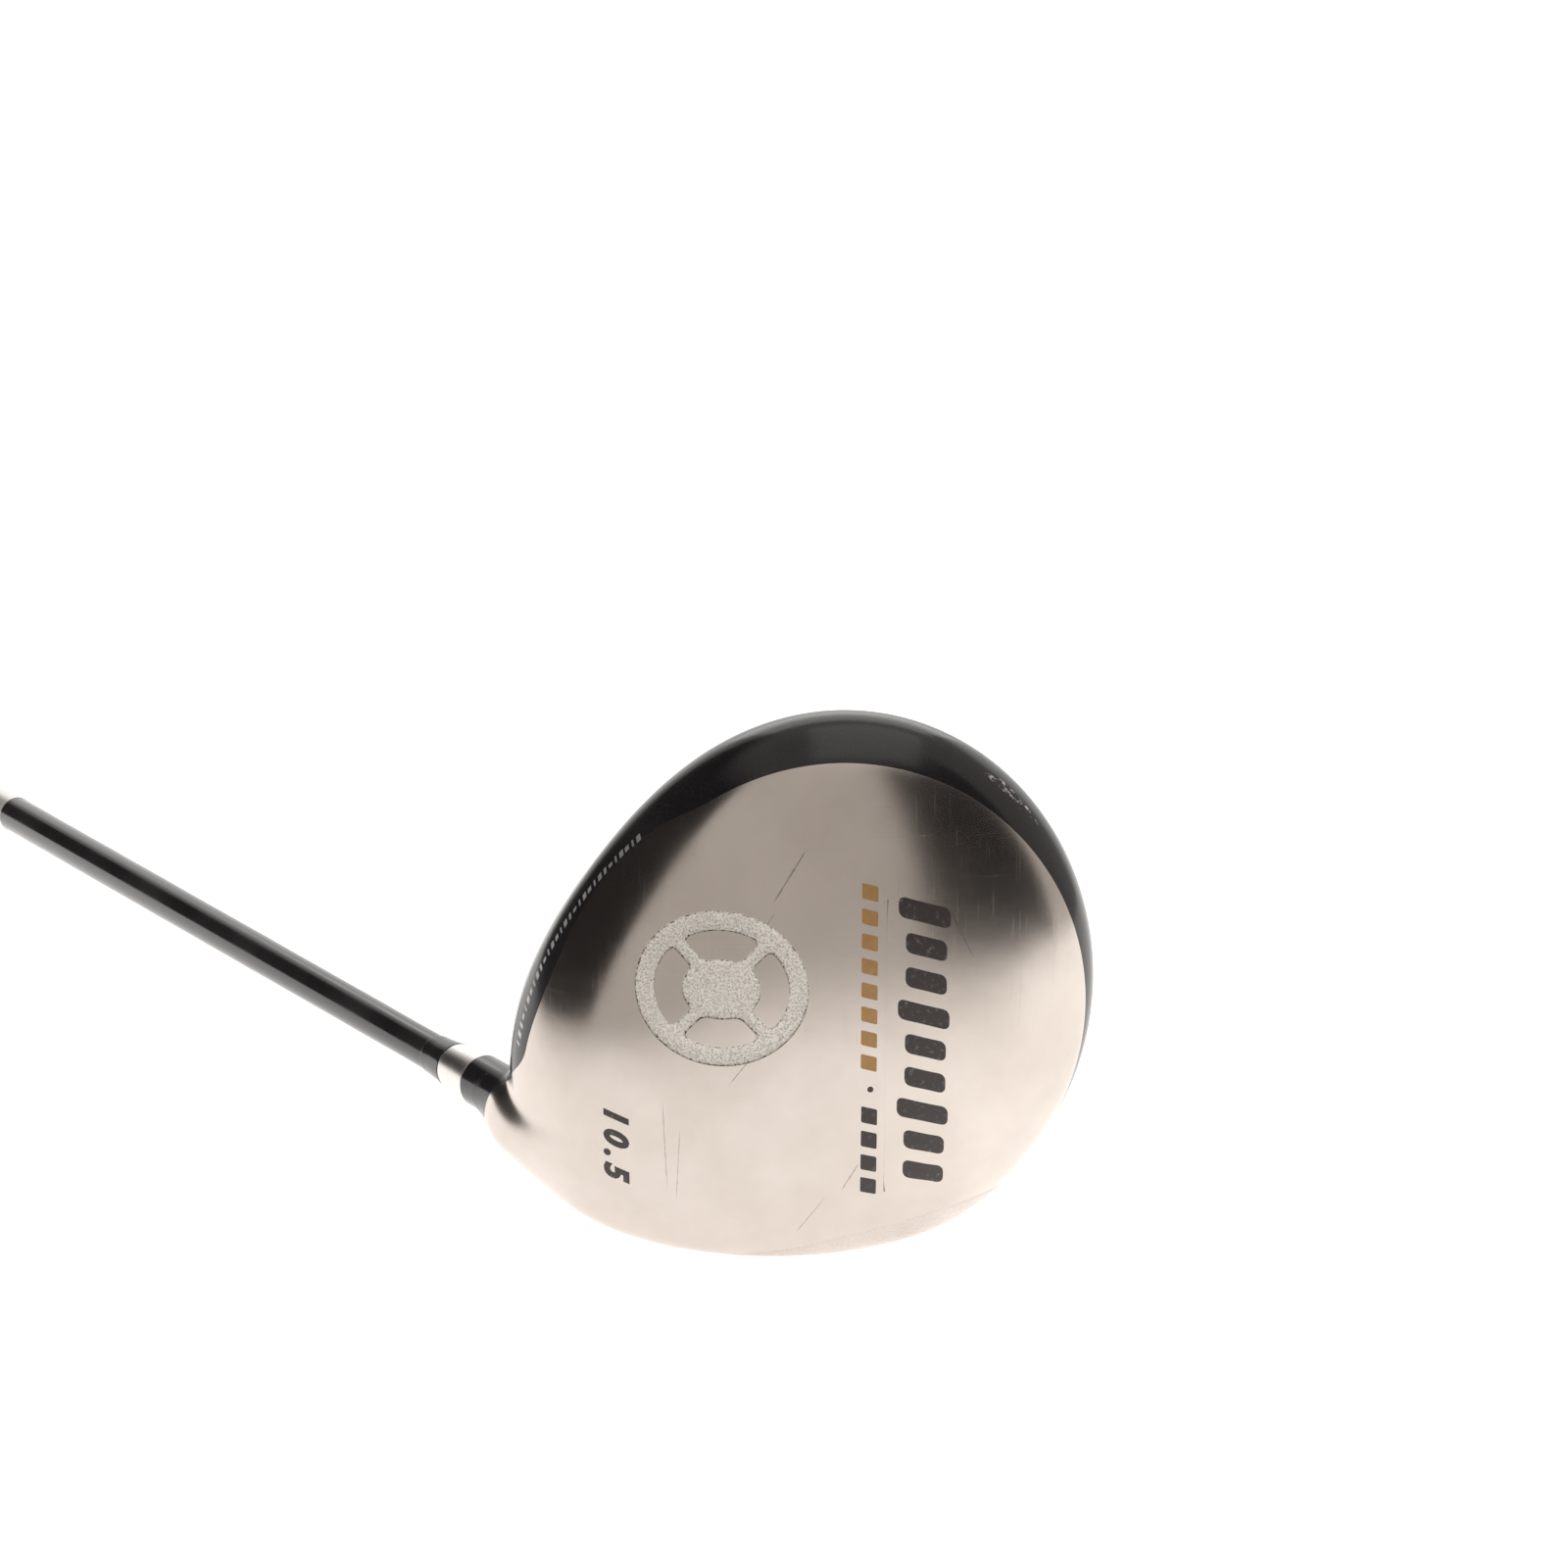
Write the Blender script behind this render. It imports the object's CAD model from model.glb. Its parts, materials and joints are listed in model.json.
import json
import math

import bmesh
import bpy
import numpy as np
from mathutils import Matrix, Vector
from mathutils.bvhtree import BVHTree
from mathutils.geometry import delaunay_2d_cdt


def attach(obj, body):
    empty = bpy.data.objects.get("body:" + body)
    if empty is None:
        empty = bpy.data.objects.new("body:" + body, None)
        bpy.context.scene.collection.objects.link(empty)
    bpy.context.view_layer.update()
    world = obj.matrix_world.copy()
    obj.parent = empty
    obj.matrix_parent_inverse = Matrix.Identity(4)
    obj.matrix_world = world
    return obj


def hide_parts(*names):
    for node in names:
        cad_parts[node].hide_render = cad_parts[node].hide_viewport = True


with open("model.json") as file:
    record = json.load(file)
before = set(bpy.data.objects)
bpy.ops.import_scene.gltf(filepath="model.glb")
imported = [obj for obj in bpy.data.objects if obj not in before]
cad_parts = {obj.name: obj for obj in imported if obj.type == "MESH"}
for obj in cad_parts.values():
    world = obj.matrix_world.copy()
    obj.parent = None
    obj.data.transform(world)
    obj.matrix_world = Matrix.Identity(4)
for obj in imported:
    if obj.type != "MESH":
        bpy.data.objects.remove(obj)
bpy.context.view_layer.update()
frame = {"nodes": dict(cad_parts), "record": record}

# ---------------------------------------------------------------- sizes, in millimetres
# The club frame is the one that the design uses: +X heel to toe, +Y to the target, +Z up.
PLAN_RADIUS = 63.6
PLAN_FLAT = 0.85
PLAN_SKEW = 5.84
PLAN_EGG = 1.6
BELT_HEIGHT = 30.1
BELT_FALL_TO_TOE = 1.8
BELT_RISE_TO_FACE = 1.95
HEAD_HEIGHT = 58.5
SOLE_CENTRE_Y = 7.3
CROWN_CENTRE_Y = 18.1
SOLE_POWER = 2.5
CROWN_POWER = 2.1
FACE_CENTRE = np.array([0.0, 48.9, 29.0])
FACE_RADIUS = 300.0
LOFT = math.radians(10.5)
FACE_EDGE_ROUND = 5.0
FACE_HALF_WIDTH = 44.0
FACE_HALF_HEIGHT = 20.0
SEAM_HEIGHT = 21.0
SEAM_SLOPE = 0.114
SEAM_HEEL_DIP = 4.5
SEAM_HEEL_DIP_X = -44.0
SEAM_NECK_RISE = 13.5
SEAM_NECK_RISE_X = -54.0
SEAM_NECK_RISE_Y = 7.0
SEAM_FRONT_RISE = 12.0
SEAM_FRONT_RISE_Y = 26.0
SEAM_BLEND = 14.0
SEAM_REAR_DROP = 3.2
FRAME_BAND = 8.5
FRAME_BAND_TOE = 3.0
CROWN_SETBACK = 14.0
COLLAR_RADIUS = 16.0
BADGE_CENTRE = (-17.5, -12.0)
BADGE_HALF = (18.5, 16.5)
BADGE_RING = 4.2
BADGE_HUB = 8.4
BADGE_SPOKE = 2.8
BADGE_DEPTH = 0.5
NUMBER_CENTRE = (-40.0, 24.4)
LIE = math.radians(58.0)
SHAFT_FOOT = np.array([-40.2, 24.2, 0.0])
NECK_TOP = 60.3
NECK_RADIUS = 6.15
NECK_FLARE = 33.0
NECK_GROWTH = 3.0
NECK_TIP = 23.0
NECK_TIP_LENGTH = 21.0
NECK_BLEND_REAR = 3.0
NECK_BLEND_FRONT = 18.0
HOSEL_TOP = 73.4
HOSEL_TOP_RADIUS = 5.45
FERRULE_LENGTH = 10.6
TIP_RADIUS = 4.45
TAPER_START = 95.4
CLUB_LENGTH = 1143.0
CAP_LENGTH = 6.0
BUTT_END = CLUB_LENGTH - CAP_LENGTH
BUTT_RADIUS = 7.6
BAND_START = HOSEL_TOP + 292.0
BAND_LENGTH = 210.0
GRIP_LENGTH = 268.0
GRIP_MOUTH = CLUB_LENGTH - GRIP_LENGTH
GRIP_MOUTH_WALL = 2.55
GRIP_BUTT_RADIUS = 13.3
GRIP_FLARE = 14.0
CAP_RADIUS = 15.9
VENT_RADIUS = 1.5
REST_ROLL = math.radians(1.0)

SHAFT_UP = np.array([-math.cos(LIE), 0.0, math.sin(LIE)])
FACE_NORMAL = np.array([0.0, math.cos(LOFT), math.sin(LOFT)])
FACE_UP = np.array([0.0, -math.sin(LOFT), math.cos(LOFT)])
FACE_BALL = FACE_CENTRE - FACE_NORMAL * FACE_RADIUS

SKIN_GRAIN = 0.6


# ---------------------------------------------------------------- club frame to row frame
def club_pose():
    """4x4 matrix from the club frame in millimetres to the row frame in metres."""
    vent = [m for m in frame["record"]["mounts"] if m["name"] == "vent_hole"][0]
    axis = np.array(vent["axis"], float)
    butt = np.array(vent["pos_m"], float) + axis * CAP_LENGTH / 2000
    foot = butt - axis * CLUB_LENGTH / 1000
    along = -SHAFT_UP
    up = np.array([0.0, -1.0, 0.0])
    lying = np.array([along, np.cross(up, along), up])
    roll = np.array(Matrix.Rotation(REST_ROLL, 3, "X"))
    pitch = np.array(Matrix.Rotation(-math.asin(-axis[2]), 3, "Y"))
    turn = pitch @ roll @ lying
    pose = np.eye(4)
    pose[:3, :3] = turn / 1000
    pose[:3, 3] = foot - turn @ SHAFT_FOOT / 1000
    return pose


POSE = club_pose()
TURN = POSE[:3, :3] * 1000


def to_row(points):
    return points @ POSE[:3, :3].T + POSE[:3, 3]


def smooth_step(value):
    value = np.clip(value, 0.0, 1.0)
    return value * value * (3 - 2 * value)


def smooth_min(first, second, blend):
    overlap = np.maximum(blend - np.abs(first - second), 0.0) / blend
    return np.minimum(first, second) - overlap * overlap * blend / 4


# ---------------------------------------------------------------- head skin
def pebble(around, climb):
    """Points of the head without its hosel; climb runs from -1 (sole) to 1 (crown)."""
    reach = (PLAN_RADIUS - PLAN_FLAT * np.cos(2 * around) - PLAN_SKEW * np.sin(2 * around)
             + PLAN_EGG * np.sin(3 * around))
    belt = BELT_HEIGHT - BELT_FALL_TO_TOE * np.cos(around) + BELT_RISE_TO_FACE * np.sin(around)
    sole = climb < 0
    pole_y = np.where(sole, SOLE_CENTRE_Y, CROWN_CENTRE_Y)
    pole_z = np.where(sole, 0.0, HEAD_HEIGHT)
    share = np.cos(np.pi / 2 * np.abs(climb))
    level = np.sqrt(np.maximum(0.0, 1 - share ** np.where(sole, SOLE_POWER, CROWN_POWER)))
    points = np.stack([reach * np.cos(around) * share,
                       pole_y + (reach * np.sin(around) - pole_y) * share,
                       belt + (pole_z - belt) * level], -1)
    arm = points - FACE_BALL
    length = np.linalg.norm(arm, axis=-1, keepdims=True)
    return FACE_BALL + arm * (smooth_min(length, FACE_RADIUS, FACE_EDGE_ROUND) / length)


def grid_faces(rows, columns):
    """Quads of a grid that is closed around its columns."""
    row, column = np.meshgrid(np.arange(rows - 1), np.arange(columns), indexing="ij")
    after = (column + 1) % columns
    return np.stack([row * columns + column, row * columns + after,
                     (row + 1) * columns + after, (row + 1) * columns + column], -1).reshape(-1, 4)


def open_grid(rows, columns):
    """Quads of a grid that is open on all sides."""
    row, column = np.meshgrid(np.arange(rows - 1), np.arange(columns - 1), indexing="ij")
    corner = (row * columns + column).ravel()
    return np.stack([corner, corner + 1, corner + columns + 1, corner + columns], -1)


def triangles(quads):
    return np.vstack([quads[:, [0, 1, 2]], quads[:, [0, 2, 3]]])


class RadialMap:
    """The pebble as a distance from a centre, for any direction, read with a cubic filter."""

    CENTRE = np.array([0.0, 0.0, 28.0])
    STEPS = 300

    def __init__(self):
        rows, columns = 360, 720
        around, climb = np.meshgrid(np.linspace(0, 2 * np.pi, columns, endpoint=False),
                                    np.linspace(-1, 1, rows))
        points = pebble(around, climb).reshape(-1, 3)
        tree = BVHTree.FromPolygons(points.tolist(), grid_faces(rows, columns).tolist())
        centre = Vector(self.CENTRE)
        side = self.STEPS
        self.table = np.zeros((side + 3, 2 * side + 3))
        for i in range(side + 1):
            rise = math.pi * (i / side - 0.5)
            for j in range(2 * side):
                turn = math.pi * j / side
                aim = Vector((math.cos(rise) * math.cos(turn), math.cos(rise) * math.sin(turn),
                              math.sin(rise)))
                self.table[i + 1, j + 1] = tree.ray_cast(centre, aim)[3]
        self.table[0] = self.table[2]
        self.table[-1] = self.table[-3]
        self.table[:, 0] = self.table[:, -3]
        self.table[:, -2] = self.table[:, 1]
        self.table[:, -1] = self.table[:, 2]

    def reach(self, aim):
        side = self.STEPS
        rise = (np.arcsin(np.clip(aim[:, 2], -1, 1)) / math.pi + 0.5) * side
        turn = np.mod(np.arctan2(aim[:, 1], aim[:, 0]) / math.pi * side, 2 * side)
        i = np.clip(np.floor(rise).astype(int), 0, side - 1)
        j = np.clip(np.floor(turn).astype(int), 0, 2 * side - 1)
        fi, fj = rise - i, turn - j

        def weights(f):
            return [(-f + 2 * f * f - f ** 3) / 2, (2 - 5 * f * f + 3 * f ** 3) / 2,
                    (f + 4 * f * f - 3 * f ** 3) / 2, (f ** 3 - f * f) / 2]

        total = 0
        for a, wa in enumerate(weights(fi)):
            for b, wb in enumerate(weights(fj)):
                total = total + wa * wb * self.table[i + a, j + b]
        return total


radial_map = RadialMap()


def along_shaft(points):
    """Distance along the shaft's axis from its foot, and distance from the axis."""
    arm = points - SHAFT_FOOT
    distance = arm @ SHAFT_UP
    away = np.linalg.norm(arm - distance[:, None] * SHAFT_UP, axis=1)
    return distance, away


def neck_radius(distance):
    """Radius of the neck, which flares into the head and ends inside it as a round tip."""
    share = np.clip((NECK_TOP - distance) / NECK_FLARE, 0.0, 1.0)
    tip = np.sin(np.pi / 2 * np.clip((distance - NECK_TIP) / NECK_TIP_LENGTH, -1.0, 1.0))
    return (NECK_RADIUS + NECK_GROWTH * share ** 2.2) * tip


def skin_level(points):
    """Negative inside the head and its neck, positive outside, about a distance."""
    arm = points - RadialMap.CENTRE
    length = np.linalg.norm(arm, axis=1)
    head = (length - radial_map.reach(arm / length[:, None])) * 0.9
    distance, away = along_shaft(points)
    neck = away - neck_radius(distance)
    frontness = smooth_step((points[:, 1] - SHAFT_FOOT[1] + 6) / 14)
    blend = NECK_BLEND_REAR + (NECK_BLEND_FRONT - NECK_BLEND_REAR) * frontness
    return smooth_min(head, neck, blend)


def slope_of(level, points, step=0.02):
    slope = np.stack([level(points + step * axis) - level(points - step * axis)
                      for axis in np.eye(3)], -1) / (2 * step)
    return slope


def unit(vectors):
    return vectors / np.maximum(np.linalg.norm(vectors, axis=-1, keepdims=True), 1e-12)


SIDE = unit(np.cross(SHAFT_UP, [0.0, 1.0, 0.0]))
OTHER = np.cross(SHAFT_UP, SIDE)


def spokes_at(around):
    """Unit vectors square to the shaft's axis, at angles around it."""
    return np.cos(around)[:, None] * SIDE + np.sin(around)[:, None] * OTHER


def point_normals(points, faces):
    """Normals at the points, summed over their triangles and not yet unit length."""
    a, b, c = (points[faces[:, k]] for k in range(3))
    flat = np.cross(b - a, c - a)
    total = np.zeros_like(points)
    for k in range(3):
        np.add.at(total, faces[:, k], flat)
    return total


def raw_mesh(name, points, faces):
    mesh = bpy.data.meshes.new(name)
    mesh.from_pydata([tuple(p) for p in points], [], [tuple(f) for f in faces])
    return mesh


class Skin:
    """Triangles in the club frame with a normal at each point."""

    def __init__(self, points, normals, faces):
        self.points, self.normals, self.faces = points, normals, faces

    def keep(self, level, gap=0.0, lip=0.0):
        """The part where level(points) > gap. Its cut edge rolls over and goes lip deep."""
        value = level(self.points) - gap
        inside = value > 0
        count = inside[self.faces].sum(1)
        kept = [self.faces[count == 3]]
        new_points, new_normals, made = [], [], {}
        start = len(self.points)

        def crossing(a, b):
            key = (min(a, b), max(a, b))
            if key not in made:
                share = value[a] / (value[a] - value[b])
                made[key] = start + len(new_points)
                new_points.append(self.points[a] + share * (self.points[b] - self.points[a]))
                new_normals.append(self.normals[a] + share * (self.normals[b] - self.normals[a]))
            return made[key]

        extra, edges = [], []
        for face in self.faces[(count == 1) | (count == 2)]:
            states = [inside[v] for v in face]
            lone = states.index(True) if sum(states) == 1 else states.index(False)
            a, b, c = (int(face[(lone + k) % 3]) for k in range(3))
            ab, ac = crossing(a, b), crossing(a, c)
            if states[lone]:
                extra.append((a, ab, ac))
                edges.append((ab, ac))
            else:
                extra.append((ab, b, c))
                extra.append((ab, c, ac))
                edges.append((ac, ab))
        points = np.vstack([self.points, np.array(new_points).reshape(-1, 3)])
        normals = np.vstack([self.normals, np.array(new_normals).reshape(-1, 3)])
        faces = np.vstack(kept + [np.array(extra, int).reshape(-1, 3)])
        if lip and edges:
            rim = sorted({v for edge in edges for v in edge})
            place = {v: i for i, v in enumerate(rim)}
            edge_points = points[rim]
            up = unit(normals[rim])
            out = -slope_of(level, edge_points)
            out = unit(out - (out * up).sum(1, keepdims=True) * up)
            rings = [(0.05, 0.012, 0.5), (0.075, 0.06, 0.95), (0.075, lip, 1.0)]
            previous = rim
            for reach, drop, tilt in rings:
                base = len(points)
                points = np.vstack([points, edge_points + out * reach - up * drop])
                normals = np.vstack([normals, unit(up * (1 - tilt) + out * tilt)])
                strip = []
                for a, b in edges:
                    i, j = place[a], place[b]
                    strip.append((previous[i], base + i, base + j))
                    strip.append((previous[i], base + j, previous[j]))
                faces = np.vstack([faces, strip])
                previous = list(range(base, base + len(rim)))
        used = np.unique(faces)
        renumber = np.zeros(len(points), int)
        renumber[used] = np.arange(len(used))
        return Skin(points[used], unit(normals[used]), renumber[faces])

    def to_object(self, name, body="root"):
        a, b, c = (self.points[self.faces[:, k]] for k in range(3))
        facing = (np.cross(b - a, c - a) * self.normals[self.faces[:, 0]]).sum(1)
        self.faces = np.where((facing < 0)[:, None], self.faces[:, ::-1], self.faces)
        mesh = raw_mesh(name, to_row(self.points), self.faces)
        attribute = mesh.attributes.new("club", "FLOAT_VECTOR", "POINT")
        attribute.data.foreach_set("vector", (self.points / 1000).astype(np.float32).ravel())
        mesh.shade_smooth()
        mesh.normals_split_custom_set_from_vertices(unit(self.normals @ TURN.T).tolist())
        piece = bpy.data.objects.new(name, mesh)
        bpy.context.scene.collection.objects.link(piece)
        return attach(piece, body)


def head_skin():
    """Even triangles over the head and its neck, smoothly joined."""
    rows, columns = 120, 240
    around, climb = np.meshgrid(np.linspace(0, 2 * np.pi, columns, endpoint=False),
                                np.linspace(-1, 1, rows))
    points = pebble(around, climb).reshape(-1, 3)
    faces = grid_faces(rows, columns).tolist()
    turns, start = 48, len(points)
    distances = np.linspace(22.0, NECK_TOP + 3, 20)
    spokes = spokes_at(np.linspace(0, 2 * np.pi, turns, endpoint=False))
    neck = [SHAFT_FOOT + d * SHAFT_UP + neck_radius(d) * spokes for d in distances]
    points = np.vstack([points] + neck)
    faces += (grid_faces(len(distances), turns) + start).tolist()
    faces.append([start + k for k in range(turns)][::-1])
    faces.append([len(points) - turns + k for k in range(turns)])
    mesh = raw_mesh("head_base", points, faces)
    holder = bpy.data.objects.new("head_base", mesh)
    bpy.context.scene.collection.objects.link(holder)
    remesh = holder.modifiers.new("even", "REMESH")
    remesh.mode = "VOXEL"
    remesh.voxel_size = SKIN_GRAIN
    graph = bpy.context.evaluated_depsgraph_get()
    even = holder.evaluated_get(graph).to_mesh()
    even.calc_loop_triangles()
    points = np.zeros(len(even.vertices) * 3, np.float32)
    even.vertices.foreach_get("co", points)
    points = points.astype(float).reshape(-1, 3)
    faces = np.zeros(len(even.loop_triangles) * 3, np.int32)
    even.loop_triangles.foreach_get("vertices", faces)
    faces = faces.reshape(-1, 3).astype(int)
    holder.evaluated_get(graph).to_mesh_clear()
    bpy.data.objects.remove(holder)
    for _ in range(4):
        slope = slope_of(skin_level, points)
        step = skin_level(points)[:, None] * slope / (slope ** 2).sum(1, keepdims=True)
        points = points - np.clip(step, -1.0, 1.0)
    return Skin(points, unit(slope_of(skin_level, points, 0.1)), faces)


def seam_level(points):
    """Positive above the joint between the sole shell and the black frame."""
    x, y, z = points.T
    level = SEAM_HEIGHT + SEAM_SLOPE * y
    level = level - SEAM_HEEL_DIP * smooth_step((SEAM_HEEL_DIP_X - x) / SEAM_BLEND)
    level = level + (SEAM_NECK_RISE * smooth_step((SEAM_NECK_RISE_X - x) / SEAM_BLEND)
                     * smooth_step((y - SEAM_NECK_RISE_Y) / SEAM_BLEND))
    level = level + SEAM_FRONT_RISE * smooth_step((y - SEAM_FRONT_RISE_Y) / SEAM_BLEND)
    level = level + SEAM_REAR_DROP * (smooth_step((-20 - x) / 18) - 0.2)
    return z - level


def crown_inside(points):
    """Positive inside the crown's outline."""
    x = points[:, 0]
    band = FRAME_BAND + (FRAME_BAND_TOE - FRAME_BAND) * smooth_step((x - 42) / 15)
    over = seam_level(points) - band
    behind = FACE_RADIUS - CROWN_SETBACK - np.linalg.norm(points - FACE_BALL, axis=1)
    _, away = along_shaft(points)
    return np.minimum(np.minimum(over, behind), away - COLLAR_RADIUS)


def face_outside(points):
    """Positive outside the face insert's outline."""
    arm = points - FACE_CENTRE
    across, up, out = arm[:, 0], arm @ FACE_UP, arm @ FACE_NORMAL
    ring = np.sqrt((across / FACE_HALF_WIDTH) ** 2 + (up / FACE_HALF_HEIGHT) ** 2)
    return np.where(out > -12, (ring - 1) * FACE_HALF_HEIGHT, 5.0)


def badge_level(x, y):
    """Distance outside the badge's outline in plan: a ring, a hub and four spokes."""
    x, y = x - BADGE_CENTRE[0], y - BADGE_CENTRE[1]

    def disc(less):
        wide, deep = BADGE_HALF[0] - less, BADGE_HALF[1] - less
        share = np.hypot(x / wide, y / deep)
        slope = np.hypot(x / wide ** 2, y / deep ** 2) / np.maximum(share, 1e-6)
        return (share - 1) / np.maximum(slope, 0.02)

    ring = np.maximum(disc(0), -disc(BADGE_RING))
    spokes = np.minimum(np.abs(x - y), np.abs(x + y)) / math.sqrt(2) - BADGE_SPOKE / 2
    spokes = np.maximum(spokes, disc(BADGE_RING / 2))
    return smooth_min(smooth_min(ring, disc(BADGE_HALF[0] - BADGE_HUB), 0.6), spokes, 1.6)


def badge_outside(points):
    level = badge_level(points[:, 0], points[:, 1])
    return np.where(points[:, 2] < 15, level, 5.0)


# ---------------------------------------------------------------- materials
class Nodes:
    """A node tree, with short ways to add the common nodes."""

    def __init__(self, tree):
        self.tree = tree

    def node(self, kind, **settings):
        made = self.tree.nodes.new("ShaderNode" + kind)
        for key, value in settings.items():
            setattr(made, key, value)
        return made

    def link(self, source, target):
        self.tree.links.new(source, target)

    def math(self, operation, first, second=None):
        made = self.node("Math", operation=operation)
        for socket, value in zip(made.inputs, (first, second)):
            if value is None:
                continue
            if isinstance(value, (int, float)):
                socket.default_value = value
            else:
                self.link(value, socket)
        return made.outputs[0]

    def mix(self, share, first, second):
        made = self.node("Mix", data_type="RGBA")
        for socket, value in ((made.inputs[0], share), (made.inputs[6], first),
                              (made.inputs[7], second)):
            if isinstance(value, tuple):
                socket.default_value = (*value, 1.0)
            elif isinstance(value, (int, float)):
                socket.default_value = value
            else:
                self.link(value, socket)
        return made.outputs[2]


class Paint(Nodes):
    """One material and its surface shader."""

    def __init__(self, name):
        self.material = bpy.data.materials.new(name)
        self.material.use_nodes = True
        super().__init__(self.material.node_tree)
        self.shader = self.tree.nodes["Principled BSDF"]

    def place(self, attribute=None):
        if attribute:
            return self.node("Attribute", attribute_name=attribute).outputs["Vector"]
        return self.node("TexCoord").outputs["Object"]

    def noise(self, where, scale, detail=3.0, stretch=None, rough=0.5):
        if stretch:
            mapping = self.node("Mapping")
            mapping.inputs["Scale"].default_value = stretch
            self.link(where, mapping.inputs["Vector"])
            where = mapping.outputs["Vector"]
        made = self.node("TexNoise")
        made.inputs["Scale"].default_value = scale
        made.inputs["Detail"].default_value = detail
        made.inputs["Roughness"].default_value = rough
        self.link(where, made.inputs["Vector"])
        return made.outputs["Fac"]

    def spread(self, value, low, high, start=0.0, end=1.0):
        """Map low..high of value to start..end, clamped."""
        made = self.node("MapRange")
        for key, number in zip(("From Min", "From Max", "To Min", "To Max"),
                               (low, high, start, end)):
            made.inputs[key].default_value = number
        self.link(value, made.inputs["Value"])
        return made.outputs["Result"]

    def bump(self, height, strength, distance, before=None):
        made = self.node("Bump")
        made.inputs["Strength"].default_value = strength
        made.inputs["Distance"].default_value = distance
        self.link(height, made.inputs["Height"])
        if before is not None:
            self.link(before, made.inputs["Normal"])
        return made.outputs["Normal"]

    def set(self, **sockets):
        for name, value in sockets.items():
            socket = self.shader.inputs[name.replace("_", " ")]
            if isinstance(value, (int, float)):
                socket.default_value = value
            elif isinstance(value, tuple):
                socket.default_value = (*value, 1.0) if len(value) == 3 else value
            else:
                self.link(value, socket)
        return self.material


def scratch_mask(paint, where, start, end, width):
    """1 on a straight thin scratch between two points of the sole, in club metres."""
    line = Vector(end) - Vector(start)
    length = line.length
    along = line / length
    offset = paint.node("VectorMath", operation="SUBTRACT")
    paint.link(where, offset.inputs[0])
    offset.inputs[1].default_value = (start[0], start[1], 0)
    forward = paint.node("VectorMath", operation="DOT_PRODUCT")
    paint.link(offset.outputs[0], forward.inputs[0])
    forward.inputs[1].default_value = (along[0], along[1], 0)
    sideways = paint.node("VectorMath", operation="DOT_PRODUCT")
    paint.link(offset.outputs[0], sideways.inputs[0])
    sideways.inputs[1].default_value = (-along[1], along[0], 0)
    centred = paint.math("ABSOLUTE", paint.math("SUBTRACT", forward.outputs["Value"], length / 2))
    ends = paint.spread(centred, length * 0.3, length * 0.5, 1.0, 0.0)
    ragged = paint.noise(where, 900, 2)
    width_here = paint.math("MULTIPLY", paint.math("MULTIPLY", ends, ragged), width * 2)
    gap = paint.math("SUBTRACT", width_here, paint.math("ABSOLUTE", sideways.outputs["Value"]))
    return paint.spread(gap, 0.0, width * 0.4)


def polished_titanium():
    paint = Paint("polished_titanium")
    where = paint.place("club")
    smudge = paint.noise(where, 38, 4, rough=0.6)
    cloud = paint.noise(where, 14, 2)
    tone = paint.mix(paint.spread(smudge, 0.35, 0.7), (0.635, 0.578, 0.535), (0.565, 0.508, 0.462))
    marks = None
    for start, end, width in (((0.0005, -0.0420, 0), (-0.0070, -0.0300, 0), 0.00022),
                              ((-0.0115, 0.0030, 0), (-0.0160, 0.0088, 0), 0.00014),
                              ((-0.0300, 0.0120, 0), (-0.0290, 0.0340, 0), 0.00010),
                              ((-0.0262, 0.0180, 0), (-0.0272, 0.0370, 0), 0.00008),
                              ((0.0120, 0.0260, 0), (0.0080, 0.0330, 0), 0.00016),
                              ((-0.0060, -0.0290, 0), (-0.0110, -0.0210, 0), 0.00010),
                              ((0.0300, -0.0300, 0), (0.0360, -0.0180, 0), 0.00008),
                              ((0.0050, 0.0340, 0), (-0.0020, 0.0440, 0), 0.00009)):
        mask = scratch_mask(paint, where, start, end, width)
        marks = mask if marks is None else paint.math("MAXIMUM", marks, mask)
    tone = paint.mix(paint.math("MULTIPLY", marks, 0.65), tone, (0.22, 0.19, 0.18))
    fine_a = paint.noise(where, 2400, 1, stretch=(1.0, 0.03, 0.03))
    fine_b = paint.noise(where, 2100, 1, stretch=(0.03, 1.0, 0.03))
    hair = paint.math("MAXIMUM", paint.spread(fine_a, 0.62, 0.80), paint.spread(fine_b, 0.64, 0.82))
    rough = paint.math("ADD", paint.spread(smudge, 0.3, 0.75, 0.155, 0.235),
                       paint.spread(cloud, 0.35, 0.65, -0.02, 0.03))
    rough = paint.math("ADD", rough, paint.math("MULTIPLY", hair, 0.06))
    height = paint.math("SUBTRACT", paint.noise(where, 700, 2),
                        paint.math("MULTIPLY", paint.math("MAXIMUM", hair, marks), 0.5))
    normal = paint.bump(height, 0.10, 0.00003)
    ripple = paint.bump(paint.noise(where, 55, 2), 0.10, 0.0006, normal)
    return paint.set(Base_Color=tone, Metallic=1.0, Roughness=rough, Normal=ripple)


def satin_titanium():
    paint = Paint("satin_titanium")
    where = paint.place()
    turned = paint.noise(where, 5200, 2, stretch=(1.0, 0.02, 0.02))
    tone = paint.mix(paint.spread(turned, 0.3, 0.7), (0.70, 0.66, 0.63), (0.80, 0.76, 0.73))
    rough = paint.spread(paint.noise(where, 90, 3), 0.3, 0.7, 0.24, 0.36)
    normal = paint.bump(turned, 0.25, 0.00003)
    return paint.set(Base_Color=tone, Metallic=1.0, Roughness=rough, Normal=normal)


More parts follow.
